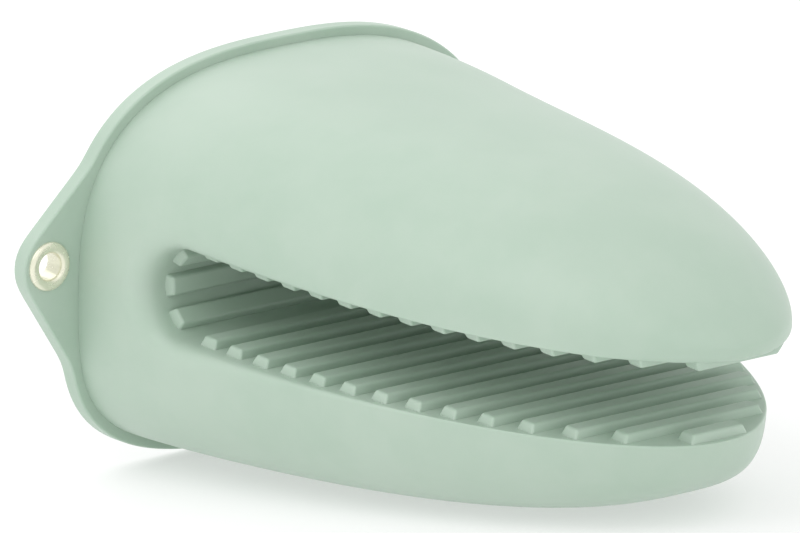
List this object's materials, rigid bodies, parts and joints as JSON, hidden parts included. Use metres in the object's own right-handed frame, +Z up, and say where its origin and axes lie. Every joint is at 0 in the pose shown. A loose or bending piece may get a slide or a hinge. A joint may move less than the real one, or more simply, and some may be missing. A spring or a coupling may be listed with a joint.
{
  "type": "oven mitt",
  "caption": "Moulded silicone pinch mitt: finger pocket above, thumb pocket below, ribbed grip faces that close like a mouth, and a hanging tab with an eyelet.",
  "frame": {"origin": "middle of the overall box, on the surface that the mitt rests on", "axes": "+X towards the nose, +Z up, the hanging tab on the -Y side; the body's own plane of symmetry is at Y = +6.2 mm"},
  "size_m": [0.1652, 0.132, 0.089],
  "materials": {
    "silicone": "satin moulded silicone, pale mint green",
    "eyelet": "pale champagne, polished"
  },
  "bodies": {
    "cuff": {"cuff_flange": "silicone", "hanging_eyelet": "eyelet", "cuff_wall": "silicone", "mouth_web": "silicone", "web_rib_1": "silicone", "web_rib_2": "silicone", "web_rib_3": "silicone", "upper_flex_band": "silicone", "lower_flex_band": "silicone"},
    "upper_jaw": {"upper_shell": "silicone", "upper_grip_wall": "silicone", "upper_rib_01": "silicone", "upper_rib_02": "silicone", "upper_rib_03": "silicone", "upper_rib_04": "silicone", "upper_rib_05": "silicone", "upper_rib_06": "silicone", "upper_rib_07": "silicone", "upper_rib_08": "silicone", "upper_rib_09": "silicone", "upper_rib_10": "silicone", "upper_rib_11": "silicone", "upper_rib_12": "silicone", "upper_rib_13": "silicone", "upper_rib_14": "silicone", "upper_rib_15": "silicone"},
    "lower_jaw": {"lower_shell": "silicone", "lower_grip_wall": "silicone", "lower_rib_01": "silicone", "lower_rib_02": "silicone", "lower_rib_03": "silicone", "lower_rib_04": "silicone", "lower_rib_05": "silicone", "lower_rib_06": "silicone", "lower_rib_07": "silicone", "lower_rib_08": "silicone", "lower_rib_09": "silicone", "lower_rib_10": "silicone", "lower_rib_11": "silicone", "lower_rib_12": "silicone", "lower_rib_13": "silicone", "lower_rib_14": "silicone"}
  },
  "joints": [
    {"name": "upper_jaw_flex", "type": "hinge", "parent": "cuff", "child": "upper_jaw", "pos_m": [-0.04467, 0.00624, 0.04338], "axis": [0, 1, 0], "range_deg": [-10, 3.8], "stiffness_Nm_per_rad": 3, "deforming": ["upper_flex_band"]},
    {"name": "lower_jaw_flex", "type": "hinge", "parent": "cuff", "child": "lower_jaw", "pos_m": [-0.04467, 0.00624, 0.04338], "axis": [0, -1, 0], "range_deg": [-10, 3.8], "stiffness_Nm_per_rad": 3, "deforming": ["lower_flex_band"]}
  ]
}
